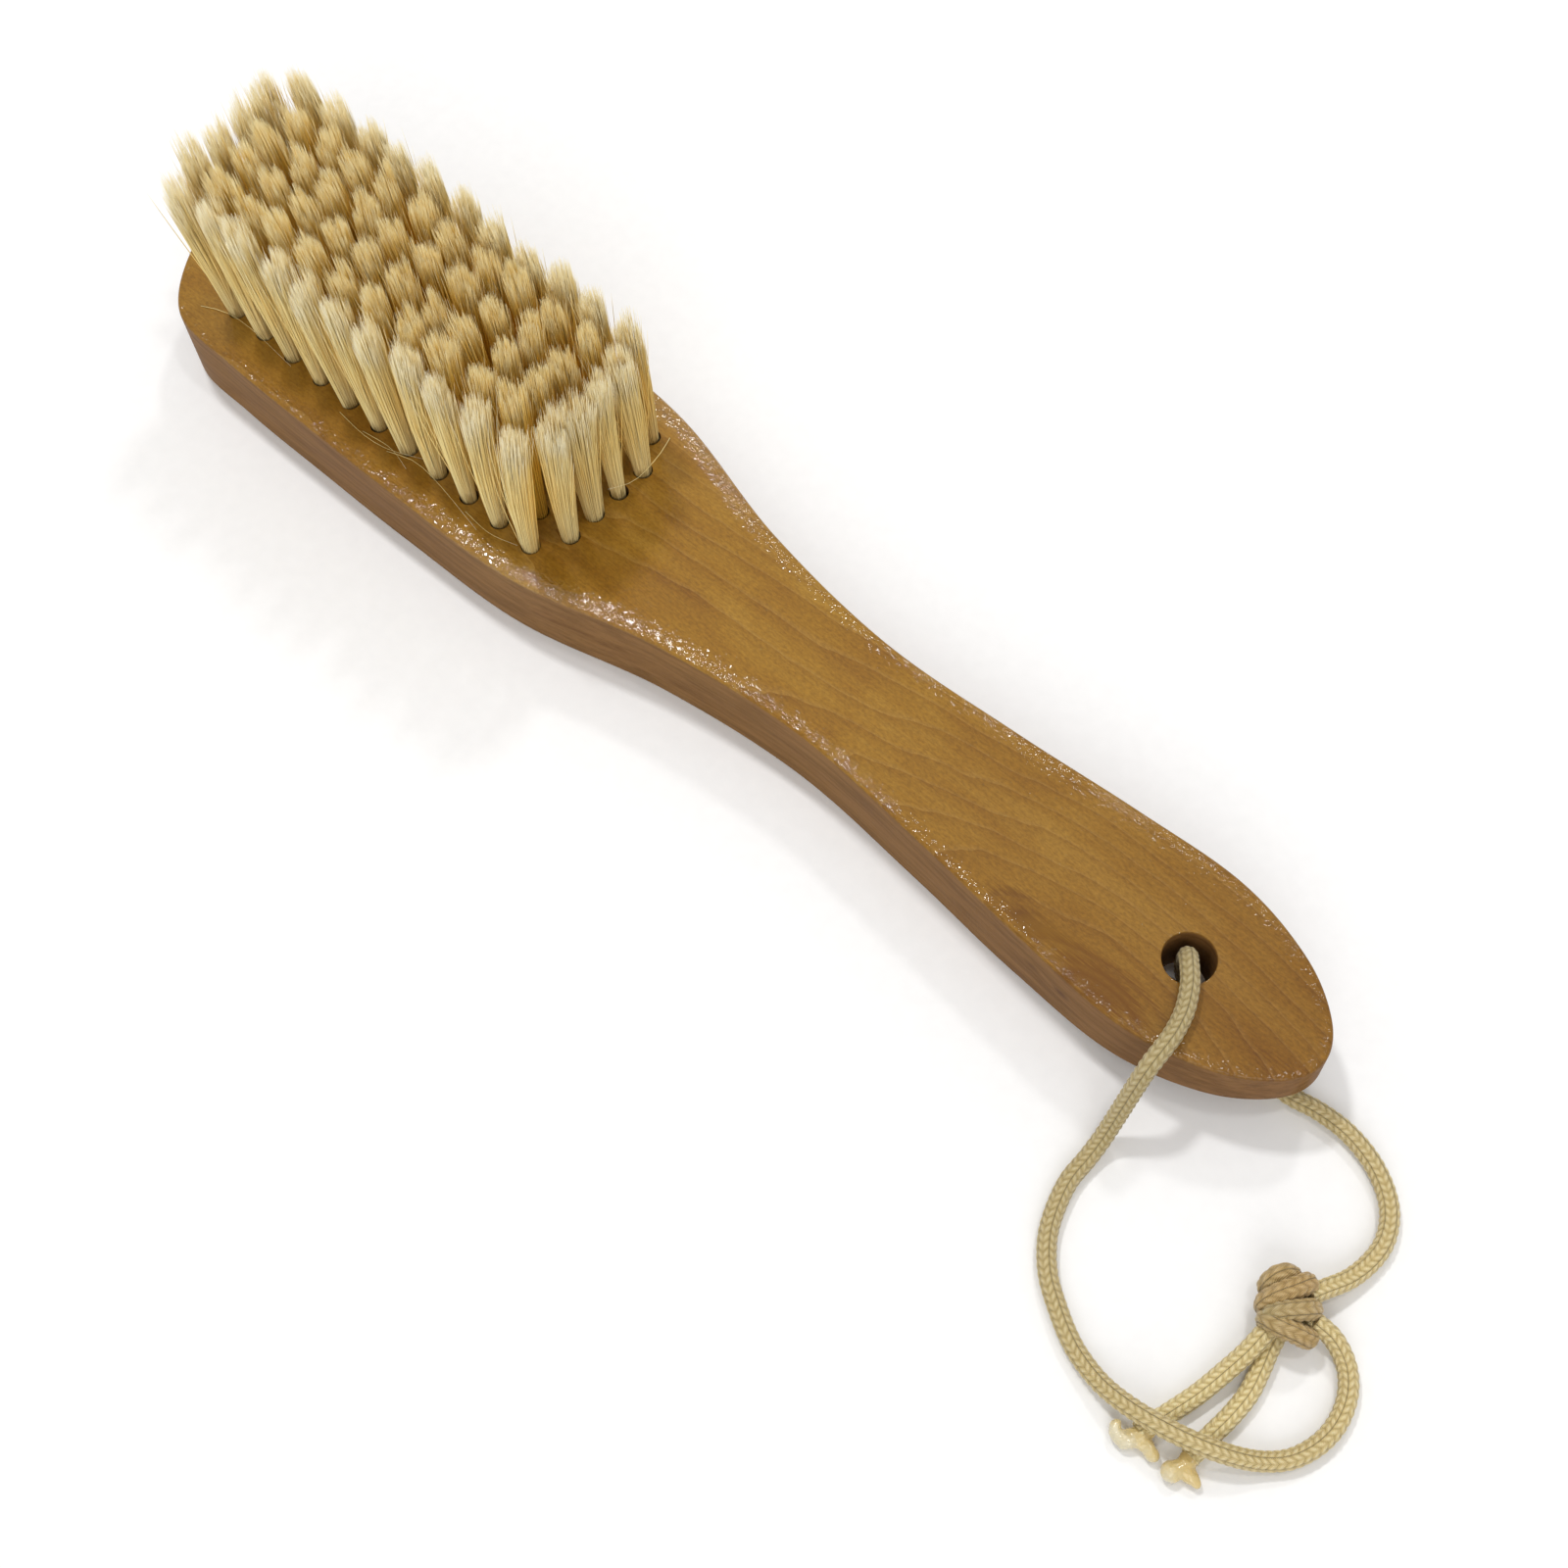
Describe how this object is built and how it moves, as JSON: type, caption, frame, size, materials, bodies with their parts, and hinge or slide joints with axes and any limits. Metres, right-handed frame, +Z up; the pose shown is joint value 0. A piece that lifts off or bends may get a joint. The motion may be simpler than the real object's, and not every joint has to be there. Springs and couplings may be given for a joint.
{
  "type": "body dry brush",
  "caption": "Wooden dry brush with an oval paddle head of set bristle tufts, a waisted flat grip and a knotted hanging cord loop.",
  "frame": {"origin": "under the middle of the wooden body and its bristles, on the surface that the flat back rests on", "axes": "+X from the head to the handle's tip, +Y across the brush, +Z up out of the bristled face"},
  "size_m": [0.2665, 0.0791, 0.0439],
  "materials": {
    "lacquered_wood": "clear lacquer over honey-brown wood, satin gloss with a slightly pebbled skin",
    "bristle": "bleached natural bristle, cream, paler at the trimmed tips",
    "anchor_wire": "flattened bright wire",
    "cord_braid": "round braided polyester cord, cream yellow, soft sheen",
    "fused_cord": "cord end melted into a milky, partly clear skin"
  },
  "bodies": {
    "root": {"wooden_body": "lacquered_wood", "tuft_row_1": "bristle", "tuft_row_2": "bristle", "tuft_row_3": "bristle", "tuft_row_4": "bristle", "tuft_row_5": "bristle", "tuft_row_6": "bristle", "anchor_row_1": "anchor_wire", "anchor_row_2": "anchor_wire", "anchor_row_3": "anchor_wire", "anchor_row_4": "anchor_wire", "anchor_row_5": "anchor_wire", "anchor_row_6": "anchor_wire", "cord_upper_strand": "cord_braid", "cord_lower_strand": "cord_braid", "cord_knot": "cord_braid", "cord_tail_left": "cord_braid", "cord_tail_right": "cord_braid", "fused_end_left": "fused_cord", "fused_end_right": "fused_cord"}
  },
  "joints": []
}
